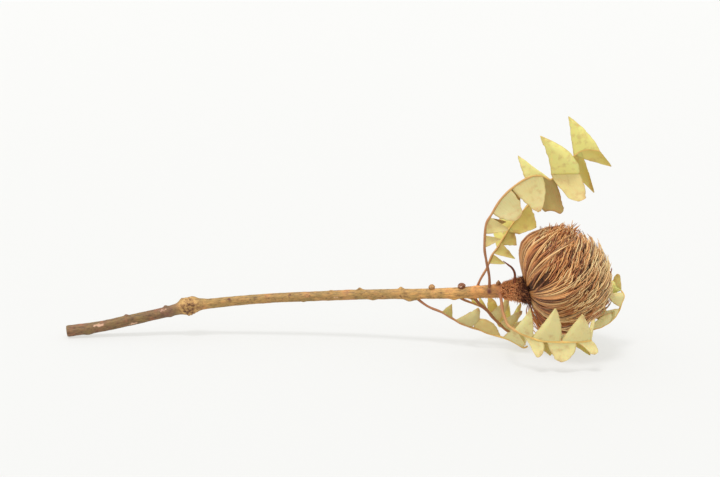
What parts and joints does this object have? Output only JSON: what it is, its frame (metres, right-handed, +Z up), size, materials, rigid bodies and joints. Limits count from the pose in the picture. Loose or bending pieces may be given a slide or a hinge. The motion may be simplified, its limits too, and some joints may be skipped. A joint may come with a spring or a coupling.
{
  "type": "dried banksia flower head on a stem",
  "caption": "Dried banksia flower head of packed brown florets on a cut woody stem with saw-toothed dried leaves.",
  "frame": {"origin": "middle of the whole piece's box, on the surface that it lies on", "axes": "+X from the cut end of the stem to the flower head, +Z up, +Y to the back"},
  "size_m": [0.4614, 0.1054, 0.191],
  "materials": {
    "bark": "dry tan bark with brown streaks and pale scars",
    "bracts": "dull, furry, dark red-brown",
    "florets": "dry golden brown straw-like strands",
    "buds": "dull dark brown",
    "leaf": "dry, papery, yellow-green with a silky sheen"
  },
  "bodies": {
    "root": {"stem": "bark", "bract_collar": "bracts", "flower_head": "florets", "curled_bract": "bracts", "bud_1": "buds", "bud_2": "buds", "bud_3": "buds", "leaf_arching": "leaf", "leaf_back": "leaf", "leaf_front": "leaf", "leaf_low": "leaf", "leaf_under": "leaf", "leaf_rear": "leaf"}
  },
  "joints": []
}
